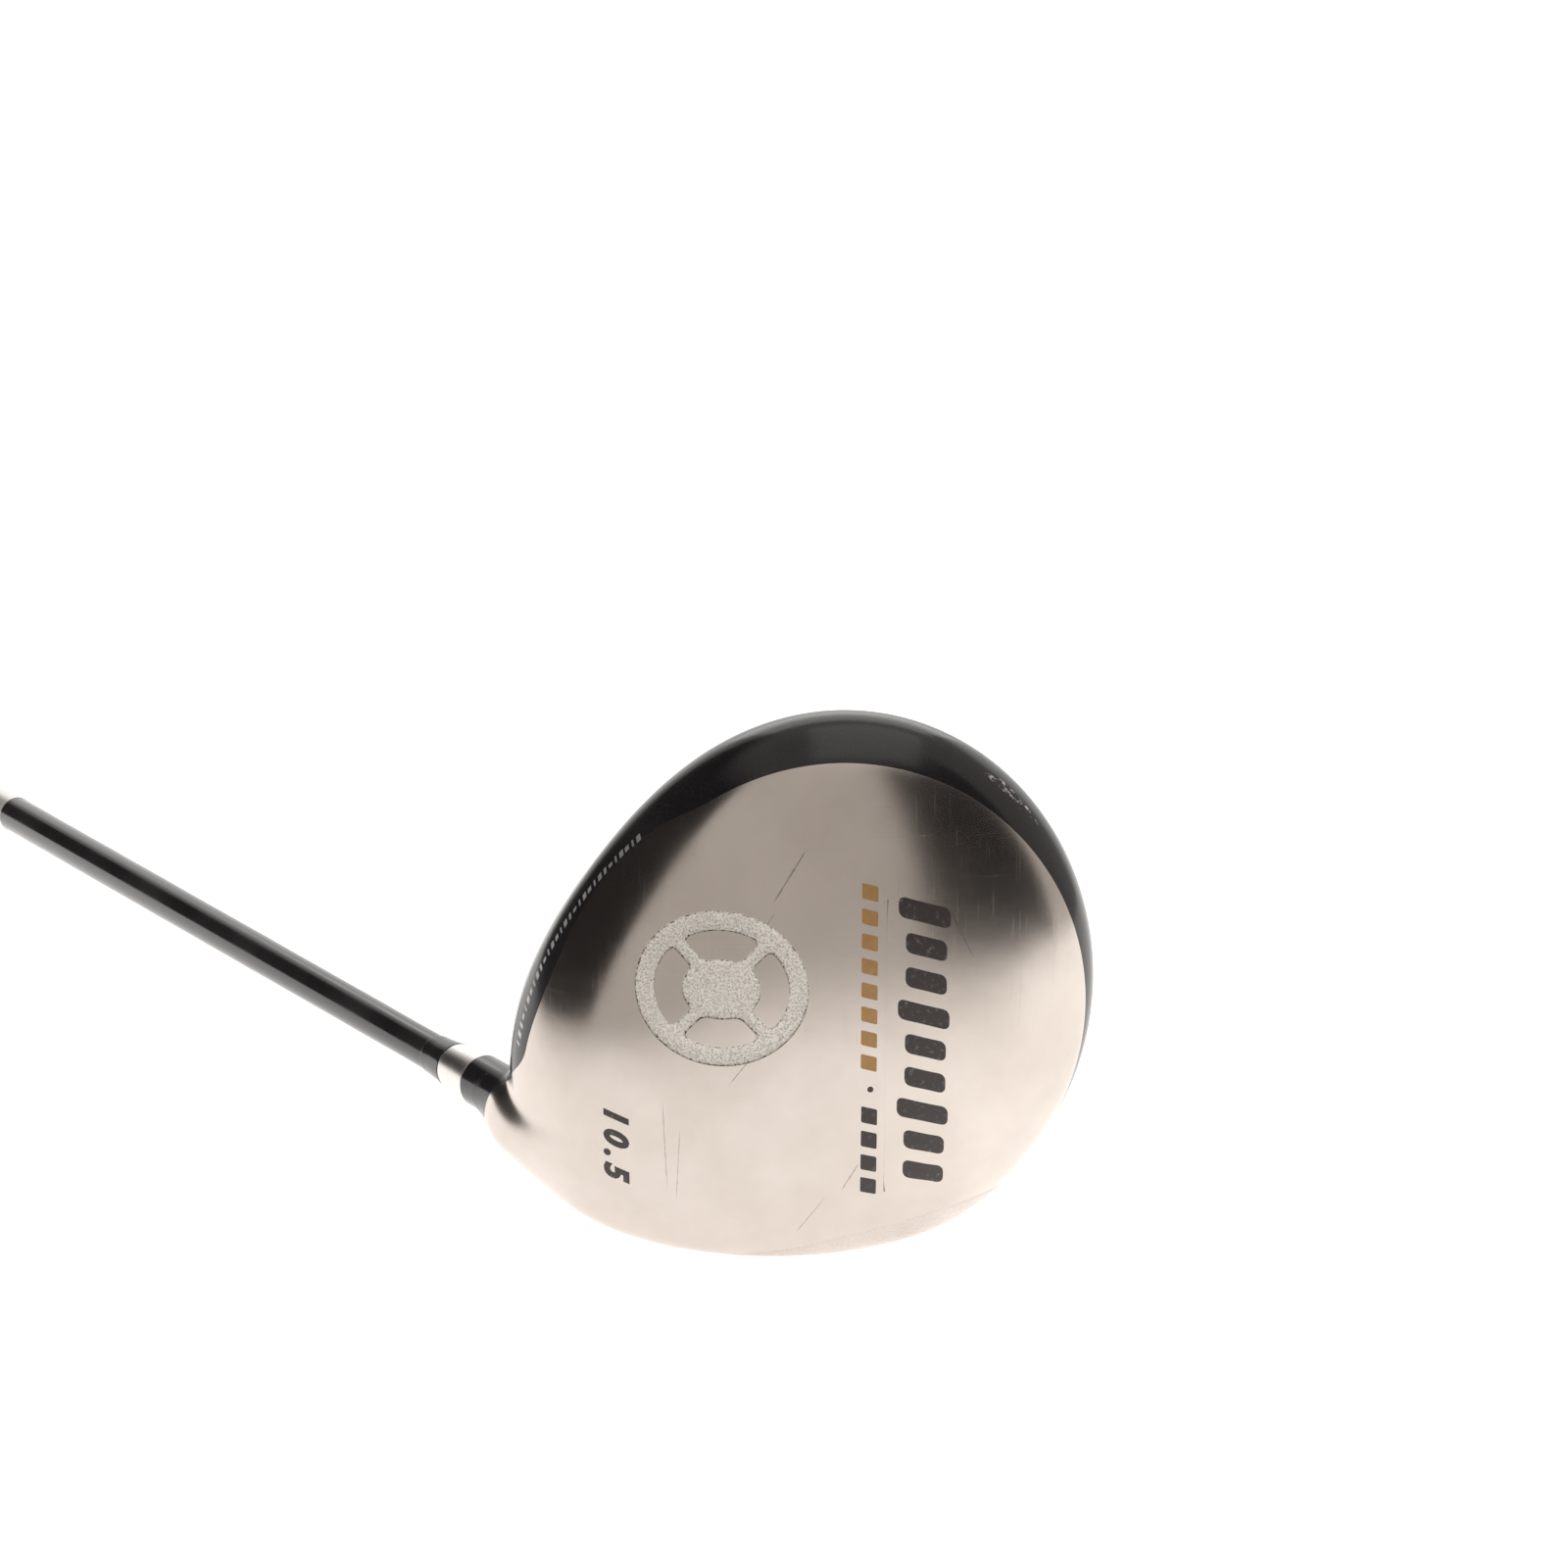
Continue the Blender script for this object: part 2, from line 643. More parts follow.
def brushed_face():
    paint = Paint("brushed_face")
    where = paint.place()
    brushed = paint.noise(where, 2600, 3, stretch=(1.0, 0.03, 1.0))
    worn = paint.noise(where, 60, 3)
    tone = paint.mix(paint.spread(worn, 0.35, 0.65), (0.545, 0.490, 0.448), (0.625, 0.570, 0.528))
    rough = paint.spread(brushed, 0.3, 0.7, 0.22, 0.32)
    return paint.set(Base_Color=tone, Metallic=1.0, Roughness=rough,
                     Normal=paint.bump(brushed, 0.3, 0.00005))


def gloss_black(name, base, flake=0.0, weave=False, wear=False):
    paint = Paint(name)
    where = paint.place("club" if wear or weave else None)
    dust = paint.noise(where, 45, 4)
    tone = paint.mix(paint.spread(dust, 0.35, 0.75), base, tuple(c * 1.8 + 0.002 for c in base))
    if weave:
        wave_a = paint.node("TexWave", bands_direction="DIAGONAL", wave_profile="SIN")
        wave_a.inputs["Scale"].default_value = 260
        paint.link(where, wave_a.inputs["Vector"])
        tone = paint.mix(paint.math("MULTIPLY", wave_a.outputs["Fac"], 0.35), tone,
                         (0.028, 0.028, 0.032))
    if flake:
        spark = paint.spread(paint.noise(where, 5200, 1), 0.68, 0.8)
        tone = paint.mix(paint.math("MULTIPLY", spark, flake), tone, (0.22, 0.22, 0.23))
    rough = paint.spread(dust, 0.3, 0.75, 0.10, 0.22)
    hair = paint.spread(paint.noise(where, 420, 2, stretch=(1.0, 0.05, 1.0)), 0.67, 0.75)
    rough = paint.math("ADD", rough, paint.math("MULTIPLY", hair, 0.12))
    if wear:
        edge = paint.node("Attribute", attribute_name="wear").outputs["Fac"]
        chips = paint.math("MULTIPLY", edge, paint.noise(where, 650, 4, rough=0.7))
        chip = paint.spread(chips, 0.50, 0.56)
        tone = paint.mix(chip, tone, (0.55, 0.52, 0.50))
        rough = paint.math("ADD", rough, paint.math("MULTIPLY", chip, 0.25))
    peel = paint.bump(paint.noise(where, 420, 2), 0.05, 0.0002)
    return paint.set(Base_Color=tone, Roughness=rough, Normal=peel, IOR=1.48)


def enamel():
    paint = Paint("badge_enamel")
    where = paint.place("club")
    grain = paint.noise(where, 2600, 3, rough=0.6)
    blotch = paint.noise(where, 160, 3)
    tone = paint.mix(paint.spread(grain, 0.38, 0.56), (0.50, 0.47, 0.42), (0.93, 0.895, 0.84))
    tone = paint.mix(paint.spread(blotch, 0.5, 0.75, 0.0, 0.3), tone, (0.66, 0.63, 0.58))
    rim = paint.node("Attribute", attribute_name="rim").outputs["Fac"]
    specks = paint.math("MULTIPLY", rim, paint.noise(where, 1500, 3, rough=0.65))
    tone = paint.mix(paint.spread(specks, 0.46, 0.54), tone, (0.05, 0.04, 0.035))
    normal = paint.bump(grain, 0.8, 0.00012)
    return paint.set(Base_Color=tone, Roughness=paint.spread(blotch, 0.3, 0.7, 0.55, 0.8),
                     Normal=normal)


def printed(name, base, metallic=0.0, worn=0.25):
    paint = Paint(name)
    where = paint.place()
    rub = paint.noise(where, 900, 4, rough=0.65)
    tone = paint.mix(paint.spread(rub, 0.56, 0.72, 0.0, worn), base, (0.55, 0.52, 0.49))
    shade = paint.noise(where, 200, 2)
    tone = paint.mix(paint.spread(shade, 0.3, 0.7, 0.0, 0.3), tone, tuple(c * 0.6 for c in base))
    return paint.set(Base_Color=tone, Metallic=metallic,
                     Roughness=paint.spread(rub, 0.3, 0.7, 0.30, 0.5),
                     Normal=paint.bump(rub, 0.25, 0.00005))


def rubber(name, base):
    paint = Paint(name)
    where = paint.place()
    grain = paint.noise(where, 2600, 4, rough=0.7)
    dust = paint.noise(where, 70, 4)
    tone = paint.mix(paint.spread(dust, 0.4, 0.8), base, tuple(c * 2.4 + 0.01 for c in base))
    return paint.set(Base_Color=tone, Roughness=paint.spread(grain, 0.3, 0.7, 0.62, 0.85),
                     Specular_IOR_Level=0.35, Normal=paint.bump(grain, 0.5, 0.00008))


def silver_print():
    paint = Paint("silver_decal")
    where = paint.place()
    flakes = paint.noise(where, 4800, 2)
    tone = paint.mix(paint.spread(flakes, 0.35, 0.65), (0.74, 0.73, 0.72), (0.90, 0.90, 0.89))
    rough = paint.spread(paint.noise(where, 60, 3), 0.3, 0.7, 0.16, 0.28)
    return paint.set(Base_Color=tone, Metallic=0.35, Roughness=rough, Coat_Weight=1.0,
                     Coat_Roughness=0.05, Normal=paint.bump(flakes, 0.08, 0.00004))


def hidden_stuff(name, low, high, rough, metallic=0.0, scale=400):
    """Adhesive, tape or plug metal: mottled, with a fine uneven surface."""
    paint = Paint(name)
    where = paint.place()
    mottle = paint.noise(where, scale, 3)
    tone = paint.mix(paint.spread(mottle, 0.3, 0.7), low, high)
    return paint.set(Base_Color=tone, Metallic=metallic,
                     Roughness=paint.spread(mottle, 0.3, 0.7, rough, rough + 0.2),
                     Normal=paint.bump(mottle, 0.3, 0.00008))


def floor_paint():
    paint = Paint("pale_floor")
    where = paint.place()
    grain = paint.noise(where, 60, 4)
    tone = paint.mix(paint.spread(grain, 0.3, 0.7), (0.86, 0.855, 0.85), (0.90, 0.895, 0.89))
    split = paint.node("SeparateXYZ")
    paint.link(where, split.inputs[0])
    behind = paint.math("ADD", paint.math("MULTIPLY", split.outputs[0], -0.53),
                        paint.math("MULTIPLY", split.outputs[1], 0.85))
    glow = paint.spread(behind, -0.84, -0.31, 0.04, 0.98)
    return paint.set(Base_Color=tone, Roughness=0.6, Normal=paint.bump(grain, 0.05, 0.0005),
                     Emission_Color=(1.0, 0.985, 0.97), Emission_Strength=glow)


MATERIALS = {
    "sole": polished_titanium(),
    "satin": satin_titanium(),
    "face": brushed_face(),
    "frame": gloss_black("black_paint", (0.012, 0.0115, 0.0125), flake=0.5, wear=True),
    "crown": gloss_black("crown_lacquer", (0.010, 0.010, 0.011), weave=True),
    "ferrule": gloss_black("ferrule_plastic", (0.014, 0.013, 0.013)),
    "shaft": gloss_black("shaft_lacquer", (0.018, 0.017, 0.018), flake=0.3),
    "enamel": enamel(),
    "dark_print": printed("dark_print", (0.035, 0.026, 0.024)),
    "gold_print": printed("gold_print", (0.42, 0.235, 0.085), metallic=0.3),
    "line_print": printed("line_print", (0.30, 0.22, 0.16), worn=0.4),
    "silver_print": printed("silver_print", (0.60, 0.60, 0.60), metallic=0.6),
    "band": silver_print(),
    "grip": rubber("grip_rubber", (0.016, 0.016, 0.017)),
    "cap": rubber("cap_rubber", (0.022, 0.022, 0.023)),
    "adhesive": hidden_stuff("adhesive", (0.40, 0.35, 0.24), (0.55, 0.49, 0.36), 0.35),
    "plug": hidden_stuff("plug_brass", (0.60, 0.42, 0.16), (0.74, 0.55, 0.24), 0.20, 1.0, 900),
    "tape": hidden_stuff("grip_tape", (0.58, 0.50, 0.36), (0.72, 0.64, 0.50), 0.60, 0.0, 250),
    "floor": floor_paint(),
}


def finish_piece(piece, material, nodes=()):
    piece.data.materials.clear()
    piece.data.materials.append(MATERIALS[material])
    if nodes:
        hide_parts(*nodes)
    return piece


# ---------------------------------------------------------------- the head
def float_attribute(piece, name, values):
    attribute = piece.data.attributes.new(name, "FLOAT", "POINT")
    attribute.data.foreach_set("value", np.asarray(values, np.float32))


skin = head_skin()


def below_neck_top(points):
    return NECK_TOP - along_shaft(points)[0]


sole_skin = skin.keep(lambda p: -seam_level(p), 0.03, 0.8).keep(below_neck_top, 0.03, 0.5)
sole_skin = sole_skin.keep(face_outside, 0.02, 0.8).keep(badge_outside, 0.0, BADGE_DEPTH)
finish_piece(sole_skin.to_object("sole_shell_skin"), "sole", ["sole_shell"])

frame_skin = skin.keep(seam_level, 0.03, 0.8).keep(below_neck_top, 0.03, 0.5)
frame_skin = frame_skin.keep(lambda p: -crown_inside(p), 0.02, 0.6)
frame_skin = frame_skin.keep(face_outside, 0.02, 0.8)
upper_frame = finish_piece(frame_skin.to_object("upper_frame_skin"), "frame",
                           ["upper_frame"])
crown_skin = skin.keep(crown_inside, 0.02, 0.6)
finish_piece(crown_skin.to_object("crown_skin"), "crown", ["crown_shell"])


def toe_wear(points):
    """Where handling has chipped the paint: the toe side of the rear skirt."""
    x, y, z = points.T
    toe = smooth_step((x - 30) / 12) * smooth_step((-18 - y) / 12)
    rim = np.exp(-((seam_level(points) - 6.5) / 3.0) ** 2)
    return np.clip(toe * rim * 0.9 + 0.12, 0, 1)


float_attribute(upper_frame, "wear", toe_wear(frame_skin.points))


def on_skin(points, lift):
    """Points moved onto the skin and lifted off it, with the skin's normals."""
    for _ in range(6):
        slope = slope_of(skin_level, points)
        points = points - skin_level(points)[:, None] * slope / (slope ** 2).sum(1, keepdims=True)
    normals = unit(slope_of(skin_level, points, 0.1))
    return points + normals * lift, normals


def sole_height(x, y):
    """Height of the sole's surface over plan points near its middle."""
    z = np.full(x.shape, 1.0)
    for _ in range(25):
        points = np.stack([x, y, z], -1)
        level = skin_level(points)
        slope = slope_of(skin_level, points)[:, 2]
        z = z - np.clip(level / np.where(np.abs(slope) < 0.2, -0.2, slope), -3, 3)
    return z


def sole_patch(x, y, lift, faces):
    """A patch that follows the sole at a height below its surface, given by lift (positive out)."""
    z = sole_height(x, y)
    points = np.stack([x, y, z], -1)
    normals = unit(slope_of(skin_level, points, 0.1))
    raised = points + normals * lift[:, None]
    return Skin(raised, normals, faces)


def skirt_ticks(name, start, end, count, size, material):
    """Short leaning bars in a row on the skirt, between two points near it."""
    start, end = np.array(start, float), np.array(end, float)
    turns = np.unwrap([math.atan2(start[1], start[0]), math.atan2(end[1], end[0])])
    reaches = [math.hypot(start[0], start[1]), math.hypot(end[0], end[1])]
    points, faces = [], []
    side = np.linspace(-0.5, 0.5, 4)
    u, v = (grid.ravel() for grid in np.meshgrid(side, side))
    quads = open_grid(len(side), len(side))
    for k in range(count):
        share = (k + 0.5) / count
        turn = turns[0] + (turns[1] - turns[0]) * share
        reach = reaches[0] + (reaches[1] - reaches[0]) * share
        height = start[2] + (end[2] - start[2]) * share
        middle = np.array([reach * math.cos(turn), reach * math.sin(turn), height])
        along = np.array([-math.sin(turn), math.cos(turn), 0.0])
        long = size[0] * (1.0, 0.45, 1.0, 1.0, 0.45, 1.0, 0.7)[k % 7]
        tall = size[1] * (1.0, 1.0, 0.8, 1.0, 1.0, 0.55, 1.0)[k % 7]
        lean = along * 0.25 * tall
        points.append(middle + u[:, None] * long * along
                      + v[:, None] * (np.array([0.0, 0.0, tall]) + lean))
        faces.append(triangles(quads) + len(u) * k)
    patch = on_skin(np.vstack(points), 0.02)
    return finish_piece(Skin(*patch, np.vstack(faces)).to_object(name), material)


def shade_by_faces(skin_piece):
    """Normals from the triangles themselves, for patches with relief."""
    total = point_normals(skin_piece.points, skin_piece.faces)
    flip = np.sign((unit(total) * skin_piece.normals).sum(1, keepdims=True))
    skin_piece.normals = unit(total) * np.where(flip == 0, 1, flip)
    return skin_piece


def badge_piece():
    """Grainy enamel that fills the sole's recess: a ring, a hub and four spokes."""
    grain = 0.16
    columns = int(2 * (BADGE_HALF[0] + 0.6) / grain)
    rows = int(2 * (BADGE_HALF[1] + 0.6) / grain)
    x, y = np.meshgrid(BADGE_CENTRE[0] + (np.arange(columns) - columns / 2) * grain,
                       BADGE_CENTRE[1] + (np.arange(rows) - rows / 2) * grain)
    x, y = x.ravel(), y.ravel()
    level = badge_level(x, y)
    quads = open_grid(rows, columns)
    near = (level[quads] < 0.3).all(1)
    used, packed = np.unique(quads[near], return_inverse=True)
    x, y, level = x[used], y[used], level[used]
    quads = packed.reshape(-1, 4)
    seed = np.random.default_rng(7)
    grit = seed.normal(0, 0.035, len(x))
    edge = smooth_step((level + 1.1) / 1.1)
    lift = -0.30 - 0.14 * smooth_step(-level / 1.6) + 0.03 * edge + grit * (level < -0.25)
    lift = np.where(level > 0, -0.34, lift)
    patch = shade_by_faces(sole_patch(x, y, lift, triangles(quads)))
    piece = patch.to_object("sole_badge_fill")
    float_attribute(piece, "rim", np.clip(edge, 0, 1))
    return finish_piece(piece, "enamel", ["sole_badge"])


badge_piece()


def outline_patch(name, outlines, material, lift=0.02, grain=0.5):
    """Flat marks on the sole: closed outlines in plan, filled with an even mesh."""
    all_points, all_faces = [], []
    for outline in outlines:
        outline = np.array(outline, float)
        low, high = outline.min(0), outline.max(0)
        gx, gy = np.meshgrid(np.arange(low[0], high[0], grain), np.arange(low[1], high[1], grain))
        inner = np.stack([gx.ravel(), gy.ravel()], -1)
        points = [Vector(p) for p in np.vstack([outline, inner])]
        edges = [(i, (i + 1) % len(outline)) for i in range(len(outline))]
        made = delaunay_2d_cdt(points, edges, [], 1, 1e-5)
        base = sum(len(p) for p in all_points)
        all_points.append(np.array([[p.x, p.y] for p in made[0]]))
        all_faces.append(np.array(made[2]) + base)
    plan = np.vstack(all_points)
    faces = np.vstack(all_faces)
    patch = sole_patch(plan[:, 0], plan[:, 1], np.full(len(plan), lift), faces[:, ::-1])
    return finish_piece(patch.to_object(name), material)


def slanted_block(x, y, width, height, lean, corner):
    """Parallelogram with round corners, as a closed outline."""
    points = []
    for sx, sy, first in ((1, 1, 0), (-1, 1, 90), (-1, -1, 180), (1, -1, 270)):
        for step in range(4):
            turn = math.radians(first + 30 * step)
            px = sx * (width / 2 - corner) + corner * math.cos(turn)
            py = sy * (height / 2 - corner) + corner * math.sin(turn)
            points.append((x + px, y + py + lean * px))
    return points


def row_of_blocks(x, start, end, count, width, fill, lean, corner):
    pitch = (end - start) / count
    return [slanted_block(x, start + pitch * (k + 0.5), width, pitch * fill, lean, corner)
            for k in range(count)]


outline_patch("sole_gold_marks", row_of_blocks(13.7, -35.5, 6.0, 8, 3.4, 0.62, 0.25, 0.35),
              "gold_print")
outline_patch("sole_dark_marks", row_of_blocks(13.9, 12.5, 34.5, 4, 3.4, 0.66, 0.25, 0.35)
              + [slanted_block(14.1, 9.3, 1.3, 1.3, 0, 0.6)], "dark_print")
outline_patch("sole_line", [slanted_block(17.4, 1.0, 0.32, 65.0, 0, 0.12)], "line_print")
bars = []
for k in range(9):
    reach = 11.0 - 2.6 * abs(math.sin(k * 1.05))
    bars.append(slanted_block(25.2 + (11.0 - reach) * 0.2, -28.5 + k * 7.2, reach, 4.3, 0.28, 1.3))
outline_patch("sole_bold_marks", bars, "dark_print")


def number_piece():
    """The loft number, leaning, cut from the built-in font."""
    curve = bpy.data.curves.new("loft_number", "FONT")
    curve.body = "10.5"
    curve.shear = 0.35
    curve.size = 7.0
    curve.space_character = 1.45
    curve.offset = 0.36
    curve.resolution_u = 4
    holder = bpy.data.objects.new("loft_number", curve)
    bpy.context.scene.collection.objects.link(holder)
    graph = bpy.context.evaluated_depsgraph_get()
    flat = holder.evaluated_get(graph).to_mesh()
    work = bmesh.new()
    work.from_mesh(flat)
    holder.evaluated_get(graph).to_mesh_clear()
    bmesh.ops.triangulate(work, faces=work.faces[:])
    for _ in range(3):
        long = [edge for edge in work.edges if edge.calc_length() > 0.6]
        bmesh.ops.subdivide_edges(work, edges=long, cuts=1)
        bmesh.ops.triangulate(work, faces=work.faces[:])
    work.verts.index_update()
    text = np.array([v.co[:2] for v in work.verts])
    faces = np.array([[v.index for v in face.verts] for face in work.faces])
    work.free()
    bpy.data.objects.remove(holder)
    text = text - (text.min(0) + text.max(0)) / 2
    x = NUMBER_CENTRE[0] + text[:, 1]
    y = NUMBER_CENTRE[1] + text[:, 0]
    patch = sole_patch(x, y, np.full(len(x), 0.04), faces)
    return finish_piece(patch.to_object("loft_number"), "dark_print")


number_piece()
skirt_ticks("skirt_marks_heel", (-34.7, -40.8, 19.5), (-61.8, 7.6, 23.5), 30, (1.25, 2.0),
            "silver_print")


# ---------------------------------------------------------------- turned pieces
def rounded(corners, steps=5):
    """(distance, radius) corners, each with a fillet, as a finer profile."""
    profile = []
    for index, (distance, radius, fillet) in enumerate(corners):
        here = np.array([distance, radius], float)
        if fillet == 0 or index in (0, len(corners) - 1):
            profile.append(here)
            continue
        before = np.array(corners[index - 1][:2], float) - here
        after = np.array(corners[index + 1][:2], float) - here
        first = here + unit(before) * min(fillet, np.linalg.norm(before) * 0.49)
        last = here + unit(after) * min(fillet, np.linalg.norm(after) * 0.49)
        for step in range(steps + 1):
            f = step / steps
            profile.append((1 - f) ** 2 * first + 2 * f * (1 - f) * here + f * f * last)
    return np.array(profile)


def turned(profile, turns=96, relief=None):
    """A surface turned about the shaft's axis. relief(distance, around) is added to the radius."""
    ring = np.linspace(0, 2 * np.pi, turns, endpoint=False)
    distance = np.repeat(profile[:, 0], turns)
    radius = np.repeat(profile[:, 1], turns)
    around = np.tile(ring, len(profile))
    if relief is not None:
        radius = radius + relief(distance, around)
    spokes = spokes_at(around)
    points = SHAFT_FOOT + distance[:, None] * SHAFT_UP + radius[:, None] * spokes
    faces = triangles(grid_faces(len(profile), turns))
    total = point_normals(points, faces)
    if (total * spokes).sum() < 0:
        faces, total = faces[:, ::-1], -total
    return Skin(points, unit(total), faces)


def shaft_radius(distance):
    share = np.clip((distance - TAPER_START) / (BUTT_END - TAPER_START), 0, 1)
    return TIP_RADIUS + (BUTT_RADIUS - TIP_RADIUS) * share


def hosel_piece():
    profile = rounded([(NECK_TOP - 0.4, NECK_RADIUS - 0.6, 0),
                       (NECK_TOP + 0.03, NECK_RADIUS - 0.15, 0),
                       (NECK_TOP + 0.18, NECK_RADIUS + 0.02, 0.1),
                       (HOSEL_TOP - 0.25, HOSEL_TOP_RADIUS + 0.03, 0.15),
                       (HOSEL_TOP - 0.02, HOSEL_TOP_RADIUS - 0.22, 0.05),
                       (HOSEL_TOP - 0.02, TIP_RADIUS, 0)])
    finish_piece(turned(profile).to_object("hosel_band"), "satin", ["hosel_tube"])


def ferrule_piece():
    top = HOSEL_TOP + FERRULE_LENGTH
    profile = rounded([(HOSEL_TOP + 0.02, TIP_RADIUS, 0),
                       (HOSEL_TOP + 0.02, HOSEL_TOP_RADIUS - 0.2, 0.05),
                       (HOSEL_TOP + 0.22, HOSEL_TOP_RADIUS + 0.02, 0.1),
                       (HOSEL_TOP + 3.2, 5.22, 1.5), (top - 3.0, 4.86, 1.2),
                       (top - 0.35, TIP_RADIUS + 0.30, 0.15),
                       (top, TIP_RADIUS + 0.16, 0.1), (top, TIP_RADIUS - 0.05, 0)])
    finish_piece(turned(profile).to_object("ferrule_ring"), "ferrule", ["ferrule"])


def shaft_piece():
    stations = np.concatenate([np.linspace(HOSEL_TOP, TAPER_START, 8),
                               np.linspace(TAPER_START, GRIP_MOUTH + 6, 60)[1:]])
    tube = np.stack([stations, shaft_radius(stations)], -1)
    finish_piece(turned(tube, 72).to_object("shaft_tube"), "shaft", ["shaft"])


def band_piece():
    ends = BAND_START, BAND_START + BAND_LENGTH
    stations = np.linspace(*ends, 24)
    profile = np.vstack([[ends[0], shaft_radius(ends[0]) - 0.02],
                         np.stack([stations, shaft_radius(stations) + 0.10], -1),
                         [ends[1], shaft_radius(ends[1]) - 0.02]])
    finish_piece(turned(profile, 72).to_object("shaft_band_print"), "band",
                 ["shaft_band"])


def grip_relief(distance, around):
    """Moulded pattern: rows of small raised lozenges between plain rings."""
    start, end = GRIP_MOUTH + 12, BUTT_END - 16
    inside = smooth_step((distance - start) / 3) * smooth_step((end - distance) / 3)
    turns = 22
    u = around * turns / (2 * np.pi)
    v = (distance - start) / 3.1
    lozenge = np.abs(np.sin(np.pi * (u + v))) * np.abs(np.sin(np.pi * (u - v)))
    raised = smooth_step((lozenge - 0.12) / 0.35)
    relief = inside * (raised - 1.0) * 0.55
    for centre in (GRIP_MOUTH + 5.0, GRIP_MOUTH + 9.0, BUTT_END - 12.0, BUTT_END - 8.5):
        relief = relief - 0.45 * np.exp(-((distance - centre) / 0.55) ** 2)
    return relief


def grip_piece():
    corners = [(GRIP_MOUTH + 1.0, shaft_radius(GRIP_MOUTH) + 0.1, 0),
               (GRIP_MOUTH, shaft_radius(GRIP_MOUTH) + 0.6, 0.3),
               (GRIP_MOUTH, shaft_radius(GRIP_MOUTH) + GRIP_MOUTH_WALL - 0.5, 0.4),
               (GRIP_MOUTH + 1.4, shaft_radius(GRIP_MOUTH) + GRIP_MOUTH_WALL, 0.6),
               (BUTT_END - GRIP_FLARE, GRIP_BUTT_RADIUS, 6.0),
               (BUTT_END - 0.2, CAP_RADIUS - 0.05, 0.1), (BUTT_END, CAP_RADIUS - 0.3, 0)]
    profile = rounded(corners, 8)
    pieces = [profile[:1]]
    grain = 0.45
    for first, last in zip(profile[:-1], profile[1:]):
        count = max(1, int(np.linalg.norm(last - first) / grain))
        share = (np.arange(count) + 1) / count
        pieces.append(first + share[:, None] * (last - first))
    profile = np.vstack(pieces)
    sleeve = turned(profile, 176, grip_relief)
    finish_piece(sleeve.to_object("grip_sleeve"), "grip", ["grip"])


def cap_piece():
    end = CLUB_LENGTH
    cap = rounded([(BUTT_END, CAP_RADIUS - 0.3, 0), (BUTT_END + 0.2, CAP_RADIUS - 0.05, 0.1),
                   (end - 1.6, CAP_RADIUS, 1.0), (end - 0.1, CAP_RADIUS - 1.6, 0.8),
                   (end - 0.1, 11.0, 0.2), (end - 0.7, 10.7, 0.2), (end - 0.7, 9.6, 0.2),
                   (end - 0.1, 9.3, 0.2), (end - 0.1, VENT_RADIUS + 0.5, 0.3),
                   (end - 0.6, VENT_RADIUS, 0.2), (BUTT_END + 0.5, VENT_RADIUS, 0)], 6)
    finish_piece(turned(cap, 144).to_object("grip_cap_disc"), "cap", ["grip_cap"])


hosel_piece()
ferrule_piece()
shaft_piece()
band_piece()
grip_piece()
cap_piece()
finish_piece(frame["nodes"]["face_insert"], "face")
for node, material, slot in (("crown_bond", "adhesive", "adhesive"),
                             ("hosel_epoxy", "adhesive", "adhesive"),
                             ("tip_plug", "plug", "plug_brass"),
                             ("grip_tape", "tape", "grip_tape")):
    finish_piece(frame["nodes"][node], material)


# ---------------------------------------------------------------- stage, light and camera
HEAD_PLACE = Vector(to_row(np.array([0.0, 0.0, 20.0])))
AWAY = Vector((-0.53, 0.85))
ACROSS = Vector((0.85, 0.53))
# Curtains: first and last azimuth, softness, and the sines of their lower and upper edges.
CURTAIN_HEEL = (-175.0, -91.0, 2.5, -0.20, 0.80)
CURTAIN_TOE = (-12.0, 47.0, 2.5, -0.18, 0.88)
BRIGHT_BACK = (100.0, 176.0, 6.0, -0.30, 0.60)
ROOM_TONE = (0.58, 0.545, 0.51)
CURTAIN_TONE = (0.022, 0.020, 0.020)
BACK_TONE = (1.25, 1.24, 1.22)
LAMPS = [("back_soft", 148, 40, 2.0, 1.6, 1.2, 6, (1.0, 0.99, 0.98)),
         ("top_soft", 60, 84, 2.2, 1.8, 1.4, 5, (1.0, 0.98, 0.96))]
# The camera in the club's frame, and the slope from its axis to the edge of its view.
CAMERA_PLACE = np.array([-3.0, -218.5, -713.3])
CAMERA_RIGHT = np.array([1.0, -0.0056, 0.0033])
CAMERA_FORWARD = np.array([-0.0021, 0.2209, 0.9753])
HALF_VIEW = 2 / 9


def table():
    """Wide pale table, brightest under and behind the club."""
    steps = [-1.6, -0.8, -0.4, 0.0, 2.0, 10.0, 60.0]
    points, faces = [], []
    for distance in steps:
        for side in (-40.0, 40.0):
            plan = HEAD_PLACE.xy + AWAY * distance + ACROSS * side
            points.append((plan.x, plan.y, 0.0))
    for k in range(len(steps) - 1):
        faces.append((2 * k, 2 * k + 1, 2 * k + 3, 2 * k + 2))
    mesh = raw_mesh("floor", points, faces)
    piece = bpy.data.objects.new("floor", mesh)
    bpy.context.scene.collection.objects.link(piece)
    piece.data.materials.append(MATERIALS["floor"])


def direction(azimuth, elevation):
    azimuth, elevation = math.radians(azimuth), math.radians(elevation)
    return Vector((math.cos(elevation) * math.cos(azimuth),
                   math.cos(elevation) * math.sin(azimuth), math.sin(elevation)))


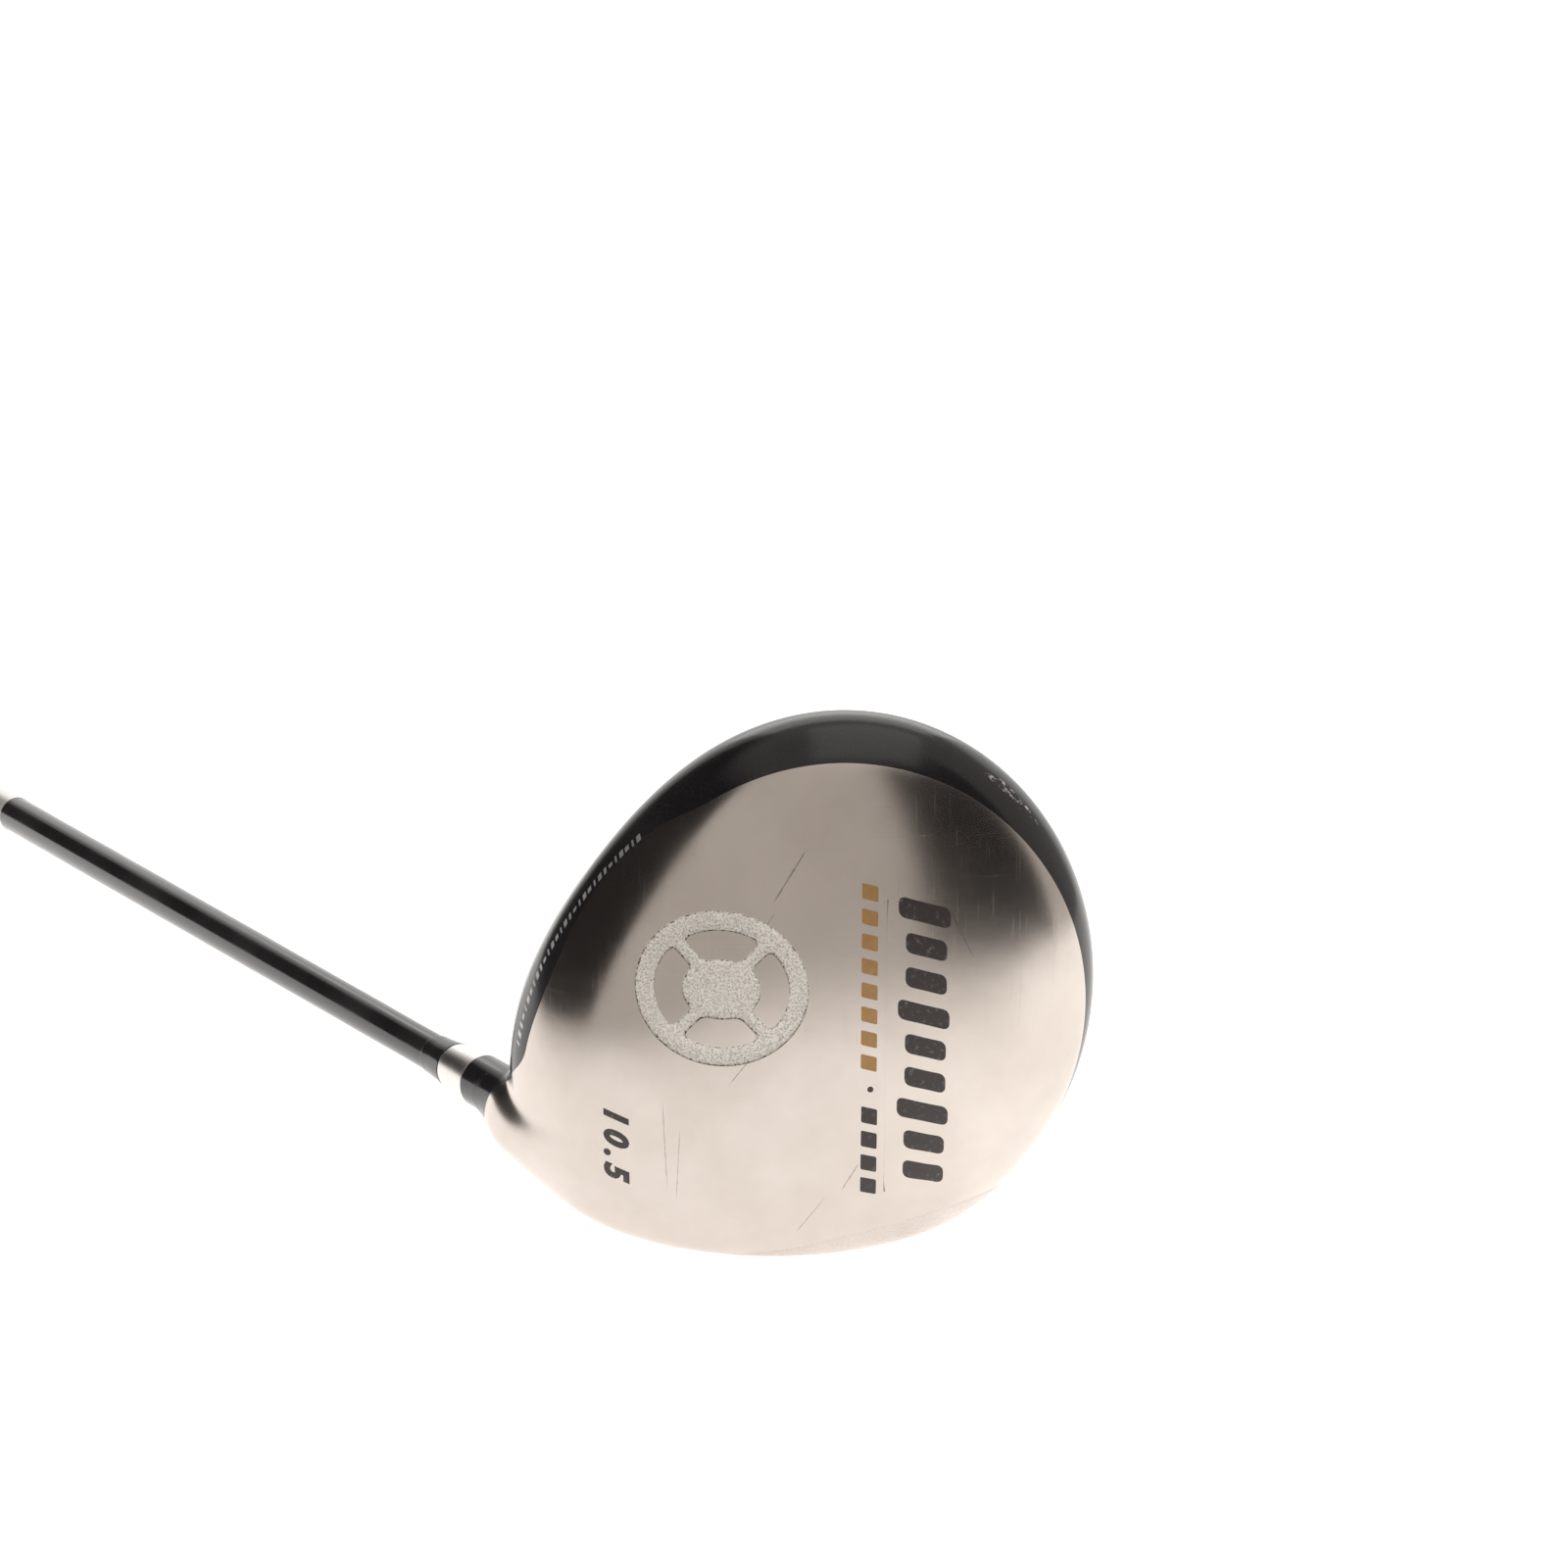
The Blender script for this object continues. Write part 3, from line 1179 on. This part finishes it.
def area_light(name, azimuth, elevation, distance, width, height, power, colour=(1, 1, 1)):
    light = bpy.data.lights.new(name, "AREA")
    light.shape = "RECTANGLE"
    light.size, light.size_y, light.energy, light.color = width, height, power, colour
    holder = bpy.data.objects.new(name, light)
    aim = direction(azimuth, elevation)
    holder.location = HEAD_PLACE + aim * distance
    holder.rotation_euler = aim.to_track_quat("Z", "Y").to_euler()
    bpy.context.scene.collection.objects.link(holder)


def studio():
    """Even grey room with two dark curtains, drawn on the world, and soft lamps."""
    world = bpy.data.worlds.new("studio")
    world.use_nodes = True
    bpy.context.scene.world = world
    nodes = Nodes(world.node_tree)
    background = nodes.tree.nodes["Background"]
    background.inputs["Strength"].default_value = 1.0
    split = nodes.node("SeparateXYZ")
    nodes.link(nodes.node("TexCoord").outputs["Generated"], split.inputs[0])
    x, y, z = split.outputs
    azimuth = nodes.math("MULTIPLY", nodes.math("ARCTAN2", y, x), 180 / math.pi)

    def ramp(value, low, high):
        made = nodes.node("MapRange", interpolation_type="SMOOTHSTEP")
        made.inputs["From Min"].default_value = low
        made.inputs["From Max"].default_value = high
        nodes.link(value, made.inputs["Value"])
        return made.outputs["Result"]

    def curtain(first, last, soft, low, high):
        """1 between two azimuths and two heights, in degrees and in sines."""
        sides = nodes.math("MULTIPLY", ramp(azimuth, first - soft, first + soft),
                           ramp(azimuth, last + soft, last - soft))
        rise = nodes.math("MULTIPLY", ramp(z, low - 0.05, low + 0.05),
                          ramp(z, high + 0.08, high - 0.08))
        return nodes.math("MULTIPLY", sides, rise)

    dark = nodes.math("MAXIMUM", curtain(*CURTAIN_HEEL), curtain(*CURTAIN_TOE))
    tone = nodes.mix(dark, ROOM_TONE, CURTAIN_TONE)
    tone = nodes.mix(curtain(*BRIGHT_BACK), tone, BACK_TONE)
    nodes.link(tone, background.inputs["Color"])
    for lamp in LAMPS:
        area_light(*lamp)


def camera():
    """Looks at the sole, from slightly above, with the head low in the frame."""
    forward = CAMERA_FORWARD
    up = unit(np.cross(CAMERA_RIGHT, forward))
    right = unit(np.cross(forward, up))
    data = bpy.data.cameras.new("camera")
    data.angle = 2 * math.atan(HALF_VIEW)
    holder = bpy.data.objects.new("camera", data)
    matrix = np.eye(4)
    matrix[:3, 0] = TURN @ right
    matrix[:3, 1] = TURN @ up
    matrix[:3, 2] = -TURN @ forward
    matrix[:3, 3] = to_row(CAMERA_PLACE)
    holder.matrix_world = Matrix(matrix.tolist())
    bpy.context.scene.collection.objects.link(holder)
    bpy.context.scene.camera = holder


table()
studio()
camera()
bpy.context.scene.view_settings.view_transform = "Standard"
